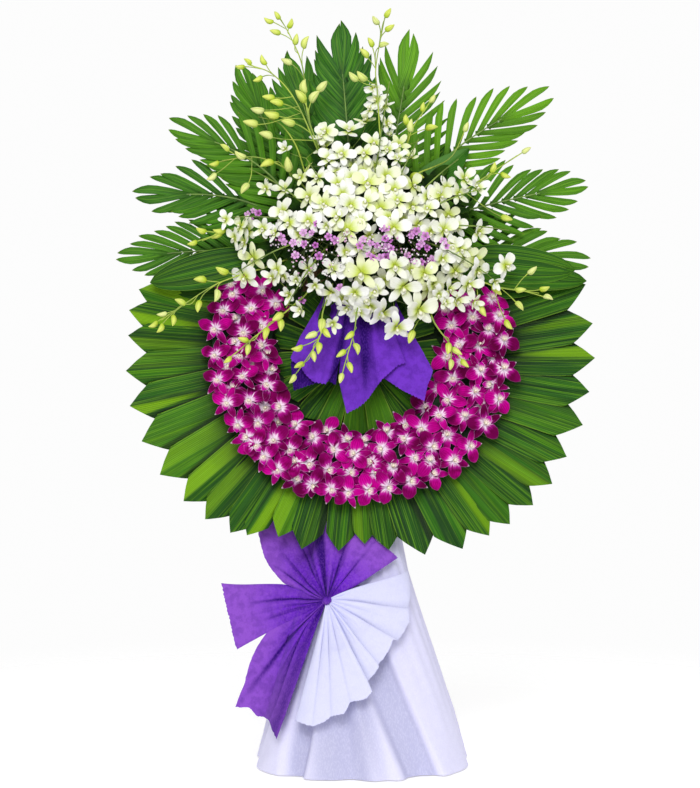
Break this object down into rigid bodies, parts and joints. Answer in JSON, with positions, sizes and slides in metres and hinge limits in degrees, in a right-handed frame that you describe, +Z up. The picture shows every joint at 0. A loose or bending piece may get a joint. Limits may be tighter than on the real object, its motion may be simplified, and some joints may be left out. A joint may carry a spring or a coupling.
{
  "type": "funeral wreath",
  "caption": "Standing funeral wreath on a tripod: pleated leaf collar, palm fronds, horseshoe of purple orchids, crowded white orchids with bud sprays, violet cloth, bow and white skirt.",
  "frame": {"origin": "on the floor, under the middle of the whole wreath's bounding box", "axes": "+Z up, +X to the right of someone who faces the flowers, -Y towards that person"},
  "size_m": [1.0711, 0.5398, 1.6897],
  "materials": {
    "timber": "matte",
    "board": "matte",
    "steel": "satin",
    "foam": "matte",
    "tray": "matte",
    "collar_leaf": "satin",
    "palm_leaf": "satin",
    "broad_leaf": "satin",
    "purple_petal": "satin",
    "white_petal": "satin",
    "filler_flower": "matte",
    "bud": "satin",
    "violet_cloth": "matte",
    "white_cloth": "matte",
    "cord": "matte"
  },
  "bodies": {
    "root": {"front_leg_left": "timber", "front_leg_right": "timber", "back_leg": "timber", "lower_crossbar": "timber", "back_brace": "timber", "upper_rail": "timber", "lower_rail": "timber", "backing_board": "board", "top_bolt": "steel", "foam_horseshoe": "foam", "foam_block": "foam", "foam_tray": "tray", "collar_leaves_1": "collar_leaf", "collar_leaves_2": "collar_leaf", "collar_leaves_3": "collar_leaf", "collar_leaves_4": "collar_leaf", "collar_leaves_5": "collar_leaf", "collar_leaves_6": "collar_leaf", "collar_leaves_7": "collar_leaf", "palm_frond_1": "palm_leaf", "palm_frond_2": "palm_leaf", "palm_frond_3": "palm_leaf", "palm_frond_4": "palm_leaf", "palm_frond_5": "palm_leaf", "palm_frond_6": "palm_leaf", "palm_frond_7": "palm_leaf", "palm_frond_8": "palm_leaf", "palm_frond_9": "palm_leaf", "palm_frond_10": "palm_leaf", "broad_leaf_left": "broad_leaf", "broad_leaf_right": "broad_leaf", "purple_orchids_1": "purple_petal", "purple_orchids_2": "purple_petal", "purple_orchids_3": "purple_petal", "purple_orchids_4": "purple_petal", "purple_orchids_5": "purple_petal", "purple_orchids_6": "purple_petal", "white_orchid_blooms": "white_petal", "filler_flowers_left": "filler_flower", "filler_flowers_right": "filler_flower", "bud_sprays_top_left": "bud", "bud_sprays_left": "bud", "bud_sprays_side_left": "bud", "bud_spray_hanging_left": "bud", "bud_spray_hanging_middle": "bud", "bud_spray_hanging_right": "bud", "bud_spray_top": "bud", "bud_sprays_right_top": "bud", "bud_sprays_right": "bud", "swag_left": "violet_cloth", "swag_middle": "violet_cloth", "swag_right": "violet_cloth", "bow_knot": "violet_cloth", "bow_lobe_upper": "violet_cloth", "bow_lobe_left": "violet_cloth", "bow_lobe_lower": "violet_cloth", "skirt": "white_cloth", "bow_fan_white": "white_cloth", "skirt_tie": "cord"}
  },
  "joints": []
}
